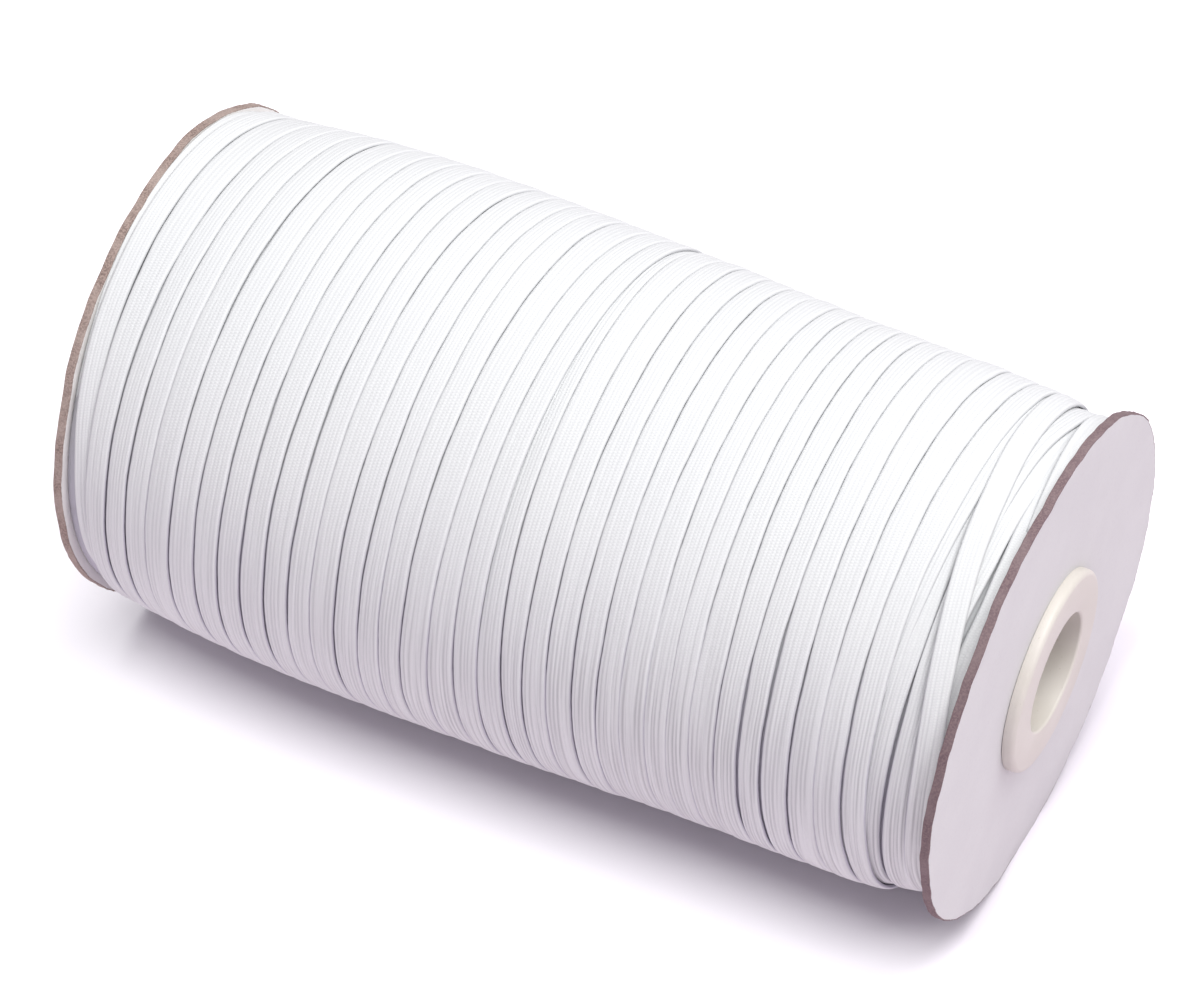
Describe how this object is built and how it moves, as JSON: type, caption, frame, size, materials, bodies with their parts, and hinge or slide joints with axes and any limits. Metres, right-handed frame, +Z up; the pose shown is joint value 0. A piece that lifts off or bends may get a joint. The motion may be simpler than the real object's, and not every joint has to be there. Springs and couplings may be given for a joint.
{
  "type": "roll of elastic",
  "caption": "Roll of flat white elastic wound between round card discs, with cream plastic hubs and a bore through the middle for a spindle.",
  "frame": {"origin": "on the floor, under the middle of the roll", "axes": "+X along the roll's axis towards the end whose hub the picture shows, -Y towards the camera's side, +Z up"},
  "size_m": [0.2066, 0.1156, 0.1124],
  "materials": {
    "elastic": "soft matt white braid with fine lengthwise ribs",
    "disc_card": "white paper faces, raw brown-grey cut edge",
    "tube_card": "raw wound card",
    "hub_plastic": "satin cream moulded plastic"
  },
  "bodies": {
    "root": {"winding": "elastic", "core_tube": "tube_card", "disc_left": "disc_card", "disc_right": "disc_card", "hub_left": "hub_plastic", "hub_right": "hub_plastic"}
  },
  "joints": []
}
